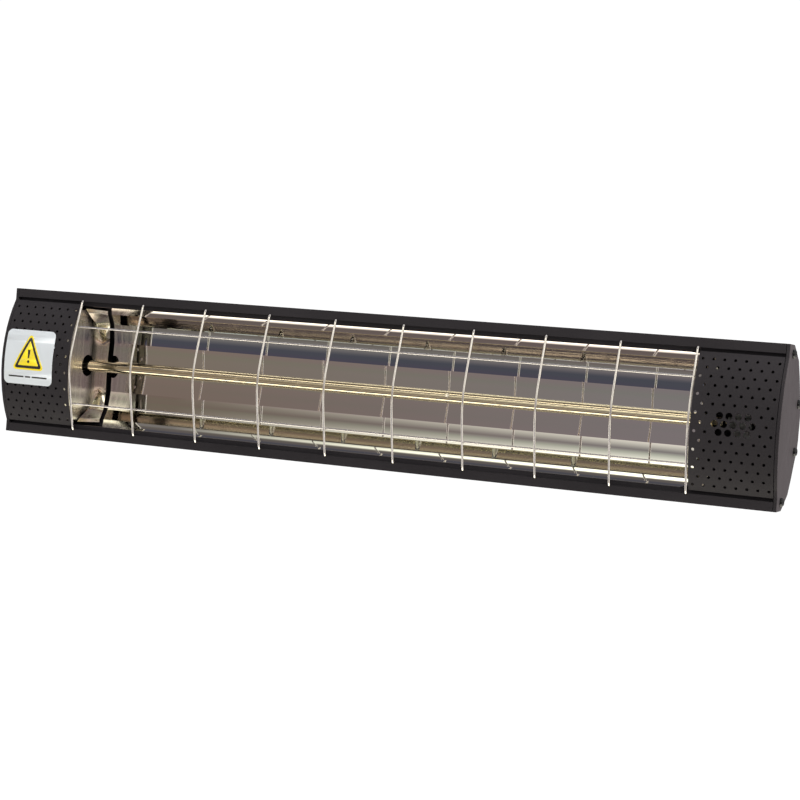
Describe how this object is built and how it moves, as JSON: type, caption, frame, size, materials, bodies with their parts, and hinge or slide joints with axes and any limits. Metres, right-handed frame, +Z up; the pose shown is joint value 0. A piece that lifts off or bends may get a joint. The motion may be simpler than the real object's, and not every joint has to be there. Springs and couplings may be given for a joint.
{
  "type": "infrared bar heater",
  "caption": "Slim wall-mounted infrared bar heater with a gold quartz lamp, polished trough, wire guard and perforated black ends, tilting on a wall bracket.",
  "frame": {"origin": "centre of the wall bracket's back face, where it lies on the wall", "axes": "+X along the bar, +Y into the wall, +Z up; the lamp faces -Y"},
  "size_m": [0.7416, 0.1315, 0.1364],
  "materials": {
    "housing_paint": "black-grey powder coat on aluminium, satin",
    "end_plate_paint": "black-grey powder coat on aluminium, satin",
    "grille_paint": "fine-textured black-grey powder coat on perforated steel",
    "label_film": "pale printed film, semi-gloss",
    "polished_reflector": "polished aluminium",
    "lamp_ceramic": "fired steatite ceramic, matte",
    "terminal_ceramic": "fired steatite ceramic, matte",
    "zinc_steel": "zinc-plated steel",
    "gold_quartz": "gold-coated quartz glass, glossy",
    "filament_metal": "tungsten coil",
    "guard_chrome": "bright chrome-plated wire",
    "lead_sleeve": "glass-fibre sleeved lead",
    "black_screw": "black-oxide steel",
    "brass": "plain brass",
    "gland_nylon": "moulded nylon",
    "bracket_paint": "black powder coat on steel",
    "knob_plastic": "moulded black plastic, fine texture"
  },
  "bodies": {
    "bracket": {"wall_bracket": "bracket_paint"},
    "heater": {"cable_gland_body": "gland_nylon", "cable_gland_dome": "gland_nylon", "cable_gland_nut": "gland_nylon", "earth_screw": "brass", "guard_wire_1": "guard_chrome", "guard_wire_10": "guard_chrome", "guard_wire_2": "guard_chrome", "guard_wire_3": "guard_chrome", "guard_wire_4": "guard_chrome", "guard_wire_5": "guard_chrome", "guard_wire_6": "guard_chrome", "guard_wire_7": "guard_chrome", "guard_wire_8": "guard_chrome", "guard_wire_9": "guard_chrome", "lamp_filament": "filament_metal", "lamp_tube": "gold_quartz", "left_end_plate": "end_plate_paint", "left_end_reflector": "polished_reflector", "left_grille": "grille_paint", "left_lamp_cap": "lamp_ceramic", "left_lamp_holder": "zinc_steel", "left_lamp_lead": "lead_sleeve", "left_lower_back_screw": "black_screw", "left_lower_front_screw": "black_screw", "left_lower_lug_screw": "zinc_steel", "left_pivot_bolt": "zinc_steel", "left_pivot_washer": "zinc_steel", "left_tilt_lug": "bracket_paint", "left_upper_back_screw": "black_screw", "left_upper_front_screw": "black_screw", "left_upper_lug_screw": "zinc_steel", "lower_guard_rod": "guard_chrome", "rear_housing": "housing_paint", "reflector_trough": "polished_reflector", "right_end_plate": "end_plate_paint", "right_end_reflector": "polished_reflector", "right_grille": "grille_paint", "right_lamp_cap": "lamp_ceramic", "right_lamp_holder": "zinc_steel", "right_lamp_lead": "lead_sleeve", "right_lower_back_screw": "black_screw", "right_lower_front_screw": "black_screw", "right_lower_lug_screw": "zinc_steel", "right_pivot_bolt": "zinc_steel", "right_pivot_washer": "zinc_steel", "right_tilt_lug": "bracket_paint", "right_upper_back_screw": "black_screw", "right_upper_front_screw": "black_screw", "right_upper_lug_screw": "zinc_steel", "terminal_block": "terminal_ceramic", "upper_guard_rod": "guard_chrome", "warning_label": "label_film"},
    "left_knob": {"left_tilt_knob": "knob_plastic"},
    "right_knob": {"right_tilt_knob": "knob_plastic"}
  },
  "joints": [
    {"name": "tilt", "type": "hinge", "parent": "bracket", "child": "heater", "pos_m": [0, -0.02, 0], "axis": [1, 0, 0], "range_deg": [-45, 45]},
    {"name": "left_knob_turn", "type": "hinge", "parent": "heater", "child": "left_knob", "pos_m": [-0.138, -0.02, 0], "axis": [-1, 0, 0], "range_deg": [0, 360]},
    {"name": "right_knob_turn", "type": "hinge", "parent": "heater", "child": "right_knob", "pos_m": [0.138, -0.02, 0], "axis": [1, 0, 0], "range_deg": [0, 360]}
  ]
}
